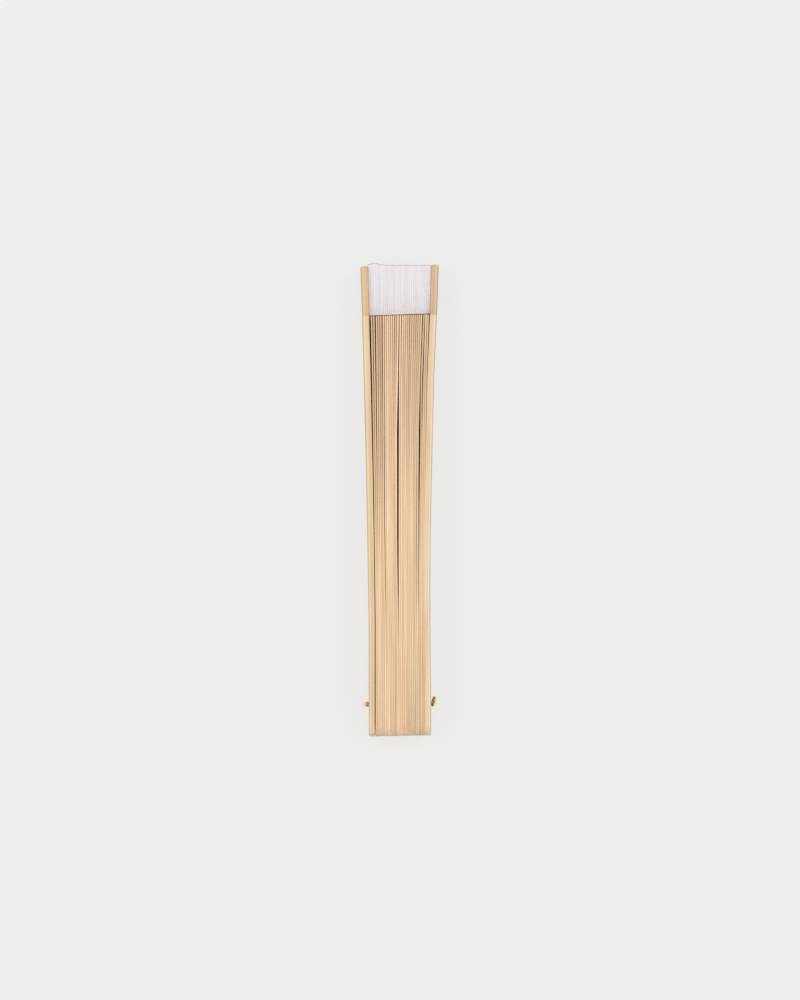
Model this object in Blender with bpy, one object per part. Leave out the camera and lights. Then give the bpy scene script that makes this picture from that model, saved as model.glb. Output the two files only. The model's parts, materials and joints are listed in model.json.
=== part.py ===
"""A wooden folding fan, closed and lying on its edge.

X runs through the stack of sticks, along the pin. Y runs along the fan, from the tails to the leaf.
Z runs across the width of the sticks, up from the edge that the fan rests on.
Every stick turns on the one pin, and its mesh is drawn from that axis: X out, Y along, Z across.
All lengths are metres.
"""

import math

import bmesh
import bpy
import numpy as np
from mathutils import Matrix, Vector

# The fan as a whole
FAN_LENGTH = 0.2300
PIVOT_FROM_TAIL = 0.0158
LEAF_ZONE = 0.0251
BLADE_WIDTH = 0.0210
OPEN_STEP_DEG = 6.0

# The ribs, which are thin slats
RIB_COUNT = 27
RIB_THICKNESS = 0.00080
TAIL_RADIUS = 0.0060
SHOULDER_RADIUS = 0.0010
SLIP_WIDTH = 0.0086
SLIP_THICKNESS = 0.00034
SLIP_SHORT_OF_TIP = 0.0015

# The guards, which are the two thick outer sticks
GUARD_THICKNESS = 0.0031
GUARD_TIP_THICKNESS = 0.0035
GUARD_TIP_WIDTH = 0.0136
GUARD_TIP_RADIUS = 0.0012
GUARD_EASING = 0.0009

# The room between the sticks, which are pressed together at the pin and spread towards the leaf
STACK_GAP = 0.00009
FIRST_GAP = 0.00045
SPREAD_START = 0.0400
TIP_SPREAD = 0.0068
SPREAD_POWER = 1.4

# The pin, a wire with a round head at its left end and a leaning eye at its right end
PIN_RADIUS = 0.00090
PIN_CLEARANCE = 0.00015
HEAD_RADIUS = 0.00122
HEAD_HEIGHT = 0.00168
HEAD_CLEARANCE = 0.00015
EYE_RADIUS = 0.00210
EYE_WIRE_RADIUS = 0.00050
EYE_LIFT = 0.00090
EYE_LEAN_DEG = 15.0
EYE_TURN_DEG = 10.0
EYE_CLEARANCE = 0.00015
RIVET_RADIUS = 0.00125

# The leaf, one pleated sheet that is glued to one side of each slip
LEAF_THICKNESS = 0.00012
LEAF_CLEARANCE = 0.00006
LEAF_ABOVE_SHOULDER = 0.0007
LEAF_BELOW_TIP = 0.0003

# Counts and overruns of the drawing itself
CORNER_STEPS = 4
SMALL_CORNER_STEPS = 2
ROUND_SIDES = 16
BALL_STEPS = 8
EYE_SIDES = 8
CUT_OVERRUN = 0.0020
SHARP_ANGLE_DEG = 40.0

# Shares of the way from the start of the spread to the shoulder where the sticks may bend
BEND_SHARES = (0.0, 0.15, 0.30, 0.45, 0.62, 0.80, 1.0)
# Where the three tables below hold, as shares of the way from the start of the spread to the tip
TABLE_PLACE_SHARES = (0.0, 0.50, 1.0)
# How the spread is shared out among the gaps, from the left guard to the right one. The slats
# aren't quite straight, so one dark gap wanders across the middle from rib 12 to rib 14.
LOW_SHARES = (
    4, 2, 2, 2, 2, 2, 2, 2, 2, 2, 2, 3, 24, 6,
    2, 2, 2, 2, 2, 2, 2, 2, 2, 3, 8, 2, 2, 2,
)  # fmt: skip
MIDDLE_SHARES = (
    7, 4.5, 4.5, 4, 3.5, 4, 3, 2.5, 2.5, 2.5, 2.5, 3, 6, 11,
    3, 2.5, 2.5, 2.5, 3, 2.5, 2.5, 2.5, 2.5, 3, 8, 3, 2.5, 5,
)  # fmt: skip
TIP_SHARES = (
    8, 6, 7, 4.5, 4, 6, 3, 2.5, 2.5, 3, 2.5, 5, 2.5, 3,
    6, 2.5, 3, 2.5, 3.5, 3, 2.5, 2.5, 3, 2.5, 6, 3, 3, 8,
)  # fmt: skip

# Places along the fan, measured from the pin
TAIL = -PIVOT_FROM_TAIL
TIP = FAN_LENGTH - PIVOT_FROM_TAIL
SHOULDER = TIP - LEAF_ZONE
BENDS = [SPREAD_START + share * (SHOULDER - SPREAD_START) for share in BEND_SHARES]
STATIONS = [TAIL, *BENDS, TIP]

# The pin's place in the world
PIVOT_Y = PIVOT_FROM_TAIL - FAN_LENGTH / 2
PIVOT_Z = BLADE_WIDTH / 2

# Half the angle between two sticks of the open fan, which is what one leaf panel spans
PANEL_ANGLE = math.radians(OPEN_STEP_DEG) / 2

WOOD = ("wood", (0.80, 0.62, 0.42, 1.0), 0.55, 0.0)
CLOTH = ("leaf_cloth", (0.86, 0.85, 0.86, 1.0), 0.85, 0.0)
BRASS = ("brass", (0.72, 0.50, 0.16, 1.0), 0.30, 1.0)


def clear_scene():
    """Removes whatever the scene holds."""
    for thing in list(bpy.data.objects):
        bpy.data.objects.remove(thing, do_unlink=True)


def make_material(name, finish):
    """One Principled material with the finish's colour, roughness and metallic value."""
    _, colour, roughness, metallic = finish
    material = bpy.data.materials.new(f"{name}_{finish[0]}")
    material.use_nodes = True
    shader = material.node_tree.nodes["Principled BSDF"]
    shader.inputs["Base Color"].default_value = colour
    shader.inputs["Roughness"].default_value = roughness
    shader.inputs["Metallic"].default_value = metallic
    material.diffuse_color = colour
    return material


def add_object(name, bm, finish, parent, location=(0.0, 0.0, 0.0)):
    """Turns a bmesh into a named object of its own material, hung on its parent."""
    bmesh.ops.recalc_face_normals(bm, faces=bm.faces)
    mesh = bpy.data.meshes.new(name)
    bm.to_mesh(mesh)
    bm.free()
    piece = bpy.data.objects.new(name, mesh)
    bpy.context.collection.objects.link(piece)
    piece.data.materials.append(make_material(name, finish))
    piece.parent = parent
    piece.location = location
    return piece


def hide_guide(guide):
    """Marks an object as a cutter or an operand, not a piece of the fan."""
    guide.hide_render = True
    guide.display_type = "WIRE"


def combine(piece, other, operation):
    """Cuts the other object out of the piece, or joins it on."""
    modifier = piece.modifiers.new(f"{operation.lower()}_{other.name}", "BOOLEAN")
    modifier.operation = operation
    modifier.solver = "EXACT"
    modifier.object = other


def spread_at(y):
    """How far the stack has spread at distance y from the pin: 0 at the start, 1 at the tip."""
    along = max(y - SPREAD_START, 0.0) / (TIP - SPREAD_START)
    return along**SPREAD_POWER


def gaps_at(y):
    """The 28 gaps between neighbouring sticks at one of the stations."""
    along = (y - SPREAD_START) / (TIP - SPREAD_START)
    tables = np.array([LOW_SHARES, MIDDLE_SHARES, TIP_SHARES], float)
    tables /= tables.sum(axis=1, keepdims=True)
    shares = [np.interp(along, TABLE_PLACE_SHARES, column) for column in tables.T]
    closed = [FIRST_GAP] + [STACK_GAP] * RIB_COUNT
    return np.array(closed) + TIP_SPREAD * spread_at(y) * np.array(shares)


def inner_faces_at(y):
    """X of the face that each rib turns to the left, then of the right guard's inner face."""
    gaps = gaps_at(y)
    inside = RIB_COUNT * RIB_THICKNESS + gaps.sum()
    return np.cumsum(gaps) + RIB_THICKNESS * np.arange(RIB_COUNT + 1) - inside / 2


FACES_AT_STATIONS = np.array([inner_faces_at(y) for y in STATIONS])
STACK_HALF_AT_STATIONS = FACES_AT_STATIONS[:, -1]


def rib_face(number, y):
    """X of a rib's left face at distance y, straight between the stations."""
    return float(np.interp(y, STATIONS, FACES_AT_STATIONS[:, number - 1]))


def stack_half(y):
    """Half the inside width of the stack, which is X of the right guard's inner face."""
    return float(np.interp(y, STATIONS, STACK_HALF_AT_STATIONS))


def guard_thickness(y):
    """A guard is a little thicker at its tip."""
    thicknesses = [
        GUARD_THICKNESS + (GUARD_TIP_THICKNESS - GUARD_THICKNESS) * spread_at(station)
        for station in STATIONS
    ]
    return float(np.interp(y, STATIONS, thicknesses))


def quarter_turn(steps):
    """Angles from 0 to a right angle."""
    return [math.pi / 2 * step / steps for step in range(steps + 1)]


def loft(bm, rings):
    """Skins a closed body through rings of points that all have the same count."""
    drawn = [[bm.verts.new(point) for point in ring] for ring in rings]
    count = len(drawn[0])
    for low, high in zip(drawn, drawn[1:]):
        for i in range(count):
            j = (i + 1) % count
            bm.faces.new((low[i], low[j], high[j], high[i]))
    bm.faces.new(drawn[0])
    bm.faces.new(drawn[-1])


def blade_stations():
    """(distance from the pin, half width) down a rib's blade, from its round tail to its shoulder."""
    half = BLADE_WIDTH / 2
    tail = [
        (TAIL + TAIL_RADIUS * (1 - math.cos(turn)), half - TAIL_RADIUS * (1 - math.sin(turn)))
        for turn in quarter_turn(CORNER_STEPS)
    ]
    shoulder = [
        (
            SHOULDER - SHOULDER_RADIUS * (1 - math.sin(turn)),
            half - SHOULDER_RADIUS * (1 - math.cos(turn)),
        )
        for turn in quarter_turn(SMALL_CORNER_STEPS)
    ]
    return tail + [(bend, half) for bend in BENDS[:-1]] + shoulder


def draw_rib(number, pivot, pin_hole):
    """A slat: a blade with a round tail, and above its shoulder a thin slip that carries the leaf."""
    here = rib_face(number, 0.0)
    middle = RIB_THICKNESS / 2

    def ring(y, half_width, half_thickness):
        x = rib_face(number, y) - here + middle
        return [
            (x - half_thickness, y, -half_width),
            (x + half_thickness, y, -half_width),
            (x + half_thickness, y, half_width),
            (x - half_thickness, y, half_width),
        ]

    rings = [ring(y, half, RIB_THICKNESS / 2) for y, half in blade_stations()]
    for y in (SHOULDER, TIP - SLIP_SHORT_OF_TIP):
        rings.append(ring(y, SLIP_WIDTH / 2, SLIP_THICKNESS / 2))
    bm = bmesh.new()
    loft(bm, rings)
    rib = add_object(f"rib_{number:02d}", bm, WOOD, pivot, (here, 0.0, 0.0))
    combine(rib, pin_hole, "DIFFERENCE")
    return rib


def arc(centre_y, centre_z, radius, first_deg, last_deg, steps):
    """Points of an arc across a stick's face, as (0, y, z)."""
    turns = np.radians(np.linspace(first_deg, last_deg, steps + 1))
    return [
        (0.0, centre_y + radius * math.cos(turn), centre_z + radius * math.sin(turn))
        for turn in turns
    ]


def guard_outline():
    """The guard's face, once round from its tail: the blade, the shoulders and the narrower tip."""
    half, tip_half = BLADE_WIDTH / 2, GUARD_TIP_WIDTH / 2
    tail_y, tail_z = TAIL + TAIL_RADIUS, half - TAIL_RADIUS
    shoulder_y, shoulder_z = SHOULDER - SHOULDER_RADIUS, half - SHOULDER_RADIUS
    tip_y, tip_z = TIP - GUARD_TIP_RADIUS, tip_half - GUARD_TIP_RADIUS
    upper = (
        arc(tip_y, tip_z, GUARD_TIP_RADIUS, 0, 90, SMALL_CORNER_STEPS)
        + [(0.0, SHOULDER, tip_half)]
        + arc(shoulder_y, shoulder_z, SHOULDER_RADIUS, 0, 90, SMALL_CORNER_STEPS)
        + arc(tail_y, tail_z, TAIL_RADIUS, 90, 180, CORNER_STEPS)
    )
    return upper + [(x, y, -z) for x, y, z in reversed(upper)]


def draw_guard(name, side, pivot, pin_hole):
    """An outer stick: a board whose outer edge is eased all round, bent with the stack.

    side is -1 on the left and 1 on the right. The board is drawn flat, with X as its depth from
    the inner face, cut across at every station, and then carried out to its place.
    """
    bm = bmesh.new()
    face = bm.faces.new([bm.verts.new(point) for point in guard_outline()])
    moved = bmesh.ops.extrude_face_region(bm, geom=[face])["geom"]
    outer = [item for item in moved if isinstance(item, bmesh.types.BMVert)]
    bmesh.ops.translate(bm, verts=outer, vec=(GUARD_THICKNESS, 0.0, 0.0))
    outer_face = [item for item in moved if isinstance(item, bmesh.types.BMFace)][0]
    bmesh.ops.bevel(
        bm,
        geom=list(outer_face.edges),
        offset=GUARD_EASING,
        offset_type="OFFSET",
        segments=SMALL_CORNER_STEPS,
        profile=0.5,
        affect="EDGES",
    )
    for station in STATIONS[1:-1]:
        bmesh.ops.bisect_plane(
            bm,
            geom=[*bm.verts, *bm.edges, *bm.faces],
            plane_co=(0.0, station, 0.0),
            plane_no=(0.0, 1.0, 0.0),
        )
    for vert in bm.verts:
        depth = vert.co.x * guard_thickness(vert.co.y) / GUARD_THICKNESS
        vert.co.x = side * (stack_half(vert.co.y) + depth)
    guard = add_object(name, bm, WOOD, pivot)
    combine(guard, pin_hole, "DIFFERENCE")
    return guard


def glued_face(number, y):
    """X of the face that a stick's panel is glued to: the left guard's inner face, or a slip's right."""
    if number == 0:
        return -stack_half(y)
    return rib_face(number, y) + (RIB_THICKNESS + SLIP_THICKNESS) / 2


def stop_face(number, y):
    """X of the face that a free panel comes back beside: a slip's left, or the leaf's last panel."""
    if number > RIB_COUNT:
        return stack_half(y) - LEAF_CLEARANCE - LEAF_THICKNESS
    return rib_face(number, y) + (RIB_THICKNESS - SLIP_THICKNESS) / 2


def panel_half_width(y):
    """Half the width of a leaf panel, which grows with the distance from the pin."""
    return y * math.tan(PANEL_ANGLE / 2)


def draw_pleat(number, stick):
    """One pleat: the panel glued to a stick's right side, folded over its upper edge, and the free
    panel that comes back down beside the next stick."""

    def ring(y):
        high = panel_half_width(y)
        left = glued_face(number, y) + LEAF_CLEARANCE
        right = stop_face(number + 1, y) - LEAF_CLEARANCE
        fold = left + 2 * LEAF_THICKNESS
        return [
            (left, y, -high),
            (left, y, high),
            (fold + LEAF_CLEARANCE, y, high),
            (right, y, -high),
            (right - LEAF_THICKNESS, y, -high),
            (left + LEAF_THICKNESS + LEAF_CLEARANCE / 2, y, high - LEAF_THICKNESS),
            (left + LEAF_THICKNESS, y, -high),
        ]

    bm = bmesh.new()
    loft(bm, [ring(SHOULDER + LEAF_ABOVE_SHOULDER), ring(TIP - LEAF_BELOW_TIP)])
    bmesh.ops.translate(bm, verts=bm.verts, vec=-Vector(stick.location))
    return add_object(f"leaf_pleat_{number + 1:02d}", bm, CLOTH, stick)


def draw_leaf_end(stick):
    """The last panel of the leaf, glued to the inner face of the right guard."""

    def ring(y):
        high = panel_half_width(y)
        right = stack_half(y) - LEAF_CLEARANCE
        left = right - LEAF_THICKNESS
        return [(left, y, -high), (left, y, high), (right, y, high), (right, y, -high)]

    bm = bmesh.new()
    loft(bm, [ring(SHOULDER + LEAF_ABOVE_SHOULDER), ring(TIP - LEAF_BELOW_TIP)])
    return add_object("leaf_end", bm, CLOTH, stick)


def outer_face_at_pin():
    """X of the right guard's outer face beside the pin."""
    return stack_half(0.0) + guard_thickness(0.0)


def draw_pin_hole(pivot):
    """The cutter for the hole that the pin runs through, in every stick."""
    reach = 2 * (outer_face_at_pin() + CUT_OVERRUN)
    bm = bmesh.new()
    bmesh.ops.create_cone(
        bm,
        cap_ends=True,
        segments=ROUND_SIDES,
        radius1=PIN_RADIUS + PIN_CLEARANCE,
        radius2=PIN_RADIUS + PIN_CLEARANCE,
        depth=reach,
        matrix=Matrix.Rotation(math.pi / 2, 4, "Y"),
    )
    hole = add_object("pin_hole", bm, BRASS, pivot)
    hide_guide(hole)
    return hole


def draw_eye(pivot):
    """The ring at the pin's right end. It leans out from the guard and is turned a little."""
    lean, turn = math.radians(EYE_LEAN_DEG), math.radians(EYE_TURN_DEG)
    reach_x = math.hypot(math.sin(lean), math.sin(turn) * math.cos(lean))
    centre_x = (
        outer_face_at_pin() + EYE_CLEARANCE + EYE_WIRE_RADIUS + EYE_RADIUS * reach_x
    )
    along = Vector((math.sin(lean), math.cos(lean), 0.0))
    square = Vector((math.cos(lean), -math.sin(lean), 0.0))
    across = Vector((0.0, 0.0, math.cos(turn))) + math.sin(turn) * square
    outward = along.cross(across)
    centre = Vector((centre_x, EYE_LIFT, 0.0))
    bm = bmesh.new()
    rings = []
    for step in range(ROUND_SIDES):
        angle = math.tau * step / ROUND_SIDES
        spoke = math.cos(angle) * along + math.sin(angle) * across
        ring = []
        for side in range(EYE_SIDES):
            roll = math.tau * side / EYE_SIDES
            offset = EYE_RADIUS + EYE_WIRE_RADIUS * math.cos(roll)
            raised = EYE_WIRE_RADIUS * math.sin(roll) * outward
            ring.append(bm.verts.new(centre + offset * spoke + raised))
        rings.append(ring)
    for step in range(ROUND_SIDES):
        low, high = rings[step], rings[(step + 1) % ROUND_SIDES]
        for side in range(EYE_SIDES):
            other = (side + 1) % EYE_SIDES
            bm.faces.new((low[side], low[other], high[other], high[side]))
    eye = add_object("pin_eye", bm, BRASS, pivot)
    hide_guide(eye)
    return eye, centre_x


def pin_profile(rivet_x):
    """(x, radius) along the pin: the head, which is a ball with a flat back, then the shank, and the
    domed end inside the eye."""
    back_x = -outer_face_at_pin() - HEAD_CLEARANCE
    centre_x = back_x - (HEAD_HEIGHT - HEAD_RADIUS)
    back_turn = math.acos((centre_x - back_x) / HEAD_RADIUS)
    head = [
        (centre_x - HEAD_RADIUS * math.cos(turn), HEAD_RADIUS * math.sin(turn))
        for turn in np.linspace(0.0, back_turn, BALL_STEPS + 1)
    ]
    dome_start = outer_face_at_pin() + EYE_CLEARANCE
    dome_height = rivet_x - dome_start
    dome = [
        (dome_start + dome_height * math.sin(turn), RIVET_RADIUS * math.cos(turn))
        for turn in quarter_turn(CORNER_STEPS)
    ]
    return head + [(back_x, PIN_RADIUS), (dome_start, PIN_RADIUS)] + dome


def draw_pin(pivot):
    """The pin, turned from its profile, with the eye joined on."""
    eye, rivet_x = draw_eye(pivot)
    profile = pin_profile(rivet_x)
    bm = bmesh.new()
    ends = [bm.verts.new((x, 0.0, 0.0)) for x, _ in (profile[0], profile[-1])]
    rings = []
    for x, radius in profile[1:-1]:
        turns = [math.tau * step / ROUND_SIDES for step in range(ROUND_SIDES)]
        rings.append(
            [bm.verts.new((x, radius * math.cos(t), radius * math.sin(t))) for t in turns]
        )
    for low, high in zip(rings, rings[1:]):
        for i in range(ROUND_SIDES):
            j = (i + 1) % ROUND_SIDES
            bm.faces.new((low[i], low[j], high[j], high[i]))
    for end, ring in ((ends[0], rings[0]), (ends[1], rings[-1])):
        for i in range(ROUND_SIDES):
            bm.faces.new((end, ring[i], ring[(i + 1) % ROUND_SIDES]))
    pin = add_object("pivot_pin", bm, BRASS, pivot)
    combine(pin, eye, "UNION")
    pin.data.shade_smooth()
    pin.data.set_sharp_from_angle(angle=math.radians(SHARP_ANGLE_DEG))
    return pin


def build_fan():
    """Draws the fan around the axis of its pin."""
    clear_scene()
    pivot = bpy.data.objects.new("pivot", None)
    bpy.context.collection.objects.link(pivot)
    pivot.location = (0.0, PIVOT_Y, PIVOT_Z)
    pin_hole = draw_pin_hole(pivot)
    sticks = [draw_guard("guard_left", -1, pivot, pin_hole)]
    sticks += [draw_rib(number, pivot, pin_hole) for number in range(1, RIB_COUNT + 1)]
    sticks.append(draw_guard("guard_right", 1, pivot, pin_hole))
    for number, stick in enumerate(sticks[:-1]):
        draw_pleat(number, stick)
    draw_leaf_end(sticks[-1])
    draw_pin(pivot)


build_fan()
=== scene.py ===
"""Dresses a closed wooden folding fan: its sticks, its pleated leaf, its brass pin, and the table.

X runs along the pin, Y along the fan from the tails to the leaf, and Z up across the sticks.
All lengths are metres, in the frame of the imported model, and the sizes of the sticks are read
from that model.
"""

import json
import math

import bmesh
import bpy
import numpy as np
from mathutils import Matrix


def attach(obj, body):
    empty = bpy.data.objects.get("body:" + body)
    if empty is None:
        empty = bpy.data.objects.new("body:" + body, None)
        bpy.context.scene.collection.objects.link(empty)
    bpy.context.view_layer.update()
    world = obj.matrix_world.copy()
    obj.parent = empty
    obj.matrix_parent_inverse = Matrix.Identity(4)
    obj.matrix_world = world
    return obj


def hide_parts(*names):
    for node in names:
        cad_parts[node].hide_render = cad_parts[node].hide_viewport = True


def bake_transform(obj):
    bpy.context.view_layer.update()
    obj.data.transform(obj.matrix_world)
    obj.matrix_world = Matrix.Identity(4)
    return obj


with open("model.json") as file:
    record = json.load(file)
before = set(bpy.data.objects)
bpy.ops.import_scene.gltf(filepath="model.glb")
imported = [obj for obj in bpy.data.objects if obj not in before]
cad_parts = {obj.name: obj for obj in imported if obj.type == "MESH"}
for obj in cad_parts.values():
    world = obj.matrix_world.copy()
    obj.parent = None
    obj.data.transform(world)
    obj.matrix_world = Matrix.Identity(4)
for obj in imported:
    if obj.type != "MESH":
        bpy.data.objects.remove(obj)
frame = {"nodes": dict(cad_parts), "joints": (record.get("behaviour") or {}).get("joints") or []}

bl_info = {
    "name": "Wooden Folding Fan",
    "version": (1, 0, 0),
    "blender": (4, 5, 0),
    "location": "3D View > Sidebar > Fan",
    "description": "Builds the sticks, the pleated leaf and the pin of a closed folding fan",
    "category": "Add Mesh",
}

MILLIMETRE = 0.001

GUARD_LEFT, GUARD_RIGHT = "guard_left", "guard_right"
RIBS = sorted(name for name in frame["nodes"] if name.startswith("rib_"))
STICKS = [GUARD_LEFT, *RIBS, GUARD_RIGHT]
LAST = len(STICKS) - 1
PIN_PLACE = np.array(frame["joints"][0]["pos_m"])
OPENING = {joint["child"]: joint["range_deg"][1] for joint in frame["joints"]}
# Half the angle that one panel of the leaf spans in the open fan, with two panels to each step
HALF_PANEL = math.radians(OPENING[GUARD_RIGHT]) / LAST / 4


def corners(node):
    """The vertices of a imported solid, measured from the pin, one row for each."""
    mesh = frame["nodes"][node].data
    points = np.empty(3 * len(mesh.vertices), np.float32)
    mesh.vertices.foreach_get("co", points)
    return points.reshape(-1, 3).astype(float) - PIN_PLACE


class Gape:
    """A place where two neighbouring sticks stand apart, as thin slats do when they bow.

    The sticks on each side of the gap are pushed away from it, the next ones a little less, and
    so on, down to none at the last. Along the fan the push rises and falls as a smooth step.
    """

    def __init__(self, after, left, right, ribs, rises, falls=(1.0, 2.0)):
        self.after, self.left, self.right, self.ribs = after, left, right, ribs
        self.rises, self.falls = rises, falls

    def push(self, number, y):
        side = number - self.after - 0.5
        part = max(0.0, 1 - (abs(side) - 0.5) / self.ribs)
        along = smooth_step(y, *self.rises) * (1 - smooth_step(y, *self.falls))
        return (self.right if side > 0 else -self.left) * part * along


def smooth_step(value, low, high):
    """0 below low and 1 above high, and 3t² - 2t³ between them."""
    t = np.clip((value - low) / (high - low), 0, 1)
    return t * t * (3 - 2 * t)


# How far the left guard's inner and outer faces are planed in near its tail, and where along the
# fan the planing runs out
TAIL_IN, TAIL_THIN, PLANING_ENDS = 0.00020, 0.00042, (0.010, 0.080)

# How far the guards bow inwards between the pin and the leaf, and where along the fan both bows
# rise, and where the left and the right one fall
BOW_LEFT, BOW_RIGHT = 0.00020, 0.00070
BOWS_RISE, LEFT_FALLS, RIGHT_FALLS = (0.0, 0.080), (0.185, 0.215), (0.160, 0.205)

# Between which ribs the loose ones next to the left guard change to tight ones
LOOSE_ENDS = (5.5, 9.0)


def rank(number):
    """Where a stick is in the stack, from 0 at the left guard to 1 at the right one."""
    return number / LAST


def squeeze(number, y):
    """How far a stick is moved along X where the guards bow, in proportion to its place."""
    left = BOW_LEFT * (1 - rank(number)) * (1 - smooth_step(y, *LEFT_FALLS))
    right = BOW_RIGHT * rank(number) * (1 - smooth_step(y, *RIGHT_FALLS))
    return (left - right) * smooth_step(y, *BOWS_RISE)


def loose_part(number):
    """1 for the loose ribs next to the left guard, and 0 for the tight ones."""
    return 1 - float(smooth_step(number, *LOOSE_ENDS))


# The number of the stick on the left of the gap, the pushes to the left and right, how many ribs
# they reach, and where along the fan they rise and fall
GAPES = (
    Gape(0, 0, 0.00024, 14, (-1.0, -0.9), (0.010, 0.080)),
    Gape(2, 0.00004, 0.00010, 3, (0.090, 0.140)),
    Gape(5, 0.00005, 0.00006, 3, (0.110, 0.140)),
    Gape(6, 0.00018, 0, 6, (0.035, 0.065), (0.120, 0.150)),
    Gape(12, -0.00006, -0.00006, 12, (0.040, 0.090), (0.150, 0.180)),
    Gape(13, 0.00062, 0.00006, 13, (0.025, 0.080), (0.128, 0.172)),
    Gape(23, 0.00010, 0.00006, 6, (0.050, 0.075), (0.100, 0.120)),
    Gape(24, 0.00045, 0.00005, 9, (0.080, 0.118), (0.130, 0.156)),
    Gape(24, 0.00008, 0.00008, 4, (0.040, 0.065), (0.095, 0.115)),
    Gape(25, 0.00026, 0.00004, 8, (0.128, 0.150), (0.176, 0.191)),
)


# How much of a gape is closed at the ribs' lower edges, how many ribs lean to the left there, and
# where along the fan the leaning runs out
LEAN_SHARE, LEAN_REACH, LEANING_ENDS = 0.85, 12, (0.160, 0.186)

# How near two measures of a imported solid's corners are when they are the same one
SAME_PLACE = 1e-6

# How near the tip a guard's width is measured, and what its corners take off there
TIP_BAND, TIP_CORNER = 0.4 * MILLIMETRE, 0.5 * MILLIMETRE

# A packed guard is at least this thick where its corners lie on both of its faces
GUARD_AT_LEAST = 3.0 * MILLIMETRE


class Stack:
    """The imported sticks, measured: where each one is along its length, and how wide it is."""

    def __init__(self):
        guard, rib = corners(GUARD_LEFT), corners(RIBS[0])
        self.tail, self.tip = guard[:, 1].min(), guard[:, 1].max()
        near_tip = guard[:, 1] > self.tip - TIP_BAND
        self.guard_tip_half = guard[near_tip, 2].max() + TIP_CORNER
        self.blade_half, self.slip_end = rib[:, 2].max(), rib[:, 1].max()
        slip = rib[np.isclose(rib[:, 1], self.slip_end, atol=SAME_PLACE)]
        self.slip_half, self.slip_thickness = slip[:, 2].max(), np.ptp(slip[:, 0])
        on_slip = np.isclose(abs(rib[:, 2]), self.slip_half, atol=SAME_PLACE)
        self.shoulder = rib[on_slip & (rib[:, 1] > 0), 1].min()
        self.rib_thickness = np.ptp(rib[abs(rib[:, 1]) < 2 * MILLIMETRE, 0])
        self.places = np.unique(np.round(rib[:, 1], 6))
        self.lines = {name: self.middle_line(name) for name in RIBS}
        guards = (GUARD_LEFT, GUARD_RIGHT)
        self.inner = {name: self.guard_line(name, np.min) for name in guards}
        self.outer = {name: self.guard_line(name, np.max) for name in guards}

    def middle_line(self, name):
        """(Y, X) along a rib: half way between its two faces wherever it has corners."""
        points = corners(name)
        places = np.unique(np.round(points[:, 1], 6))
        at = [points[np.isclose(points[:, 1], y, atol=2 * SAME_PLACE), 0] for y in places]
        return places, np.array([(x.min() + x.max()) / 2 for x in at])

    def guard_line(self, name, which):
        """(Y, X) along a guard's inner or outer face, which is at the least or the greatest X away
        from the stack's middle, drawn on in a straight line past the tip."""
        side = -1 if name == GUARD_LEFT else 1
        points = corners(name)
        ys, xs = [], []
        for y in np.unique(np.round(points[:, 1], 5)):
            x = side * points[np.isclose(points[:, 1], y, atol=10 * SAME_PLACE), 0]
            if np.ptp(x) > GUARD_AT_LEAST:
                ys.append(y)
                xs.append(which(x))
        slope = (xs[-1] - xs[-2]) / (ys[-1] - ys[-2])
        ys.append(self.tip + MILLIMETRE)
        xs.append(xs[-1] + slope * (ys[-1] - ys[-2]))
        return np.array(ys), side * np.array(xs)

    def middle(self, number, y):
        """X of a rib's middle at distance y from the pin, drawn on in a straight line past its end,
        and moved aside where the ribs gape."""
        ys, xs = self.lines[STICKS[number]]
        slope = (xs[-1] - xs[-2]) / (ys[-1] - ys[-2])
        straight = np.interp(y, ys, xs) + slope * np.maximum(y - ys[-1], 0)
        return straight + self.pushed(number, y) + squeeze(number, y)

    def pushed(self, number, y):
        """How far the gapes move a rib's upper edge aside."""
        return sum(gape.push(number, y) for gape in GAPES)

    def lean_in(self, number, y):
        """How much further left a rib's lower edge is than its upper one: the gapes close again
        towards the table, and the first ribs lean against the left guard there."""
        face = self.middle(1, y) - self.pushed(1, y) - self.rib_thickness / 2
        first = (face - self.inner_face(GUARD_LEFT, y)) * max(0.0, 1 - (number - 1) / LEAN_REACH)
        return LEAN_SHARE * (self.pushed(number, y) + first) * (1 - smooth_step(y, *LEANING_ENDS))

    def guard_face(self, line, name, y, planed):
        """X along one face of a guard, moved in where it is planed and where the guards bow."""
        moved = planed * (1 - smooth_step(y, *PLANING_ENDS)) if name == GUARD_LEFT else 0.0
        return np.interp(y, *line) + moved + squeeze(STICKS.index(name), y)

    def inner_face(self, name, y):
        """X of a guard's inner face at distance y from the pin."""
        return self.guard_face(self.inner[name], name, y, TAIL_IN)

    def outer_face(self, name, y):
        """X of a guard's outer face at distance y from the pin."""
        return self.guard_face(self.outer[name], name, y, TAIL_THIN)


STACK = Stack()

# Where the tails and the shoulders are on the table, and where the leaf meets the two guards
TAIL_Y, SHOULDER_Y = PIN_PLACE[1] + STACK.tail, PIN_PLACE[1] + STACK.shoulder
START_X = float(STACK.inner_face(GUARD_LEFT, STACK.shoulder + 2 * MILLIMETRE))
END_X = float(STACK.inner_face(GUARD_RIGHT, STACK.shoulder + 10 * MILLIMETRE))


def size(name, about, millimetres, low=0.0, high=50.0):
    """A length that a user may change, given here in millimetres."""
    return bpy.props.FloatProperty(
        name=name,
        description=about,
        default=millimetres * MILLIMETRE,
        min=low * MILLIMETRE,
        max=high * MILLIMETRE,
        unit="LENGTH",
        precision=5,
    )


def share(name, about, value, high=1.0):
    """A plain number from 0 up."""
    return bpy.props.FloatProperty(
        name=name, description=about, default=value, min=0.0, max=high, subtype="FACTOR"
    )


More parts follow.
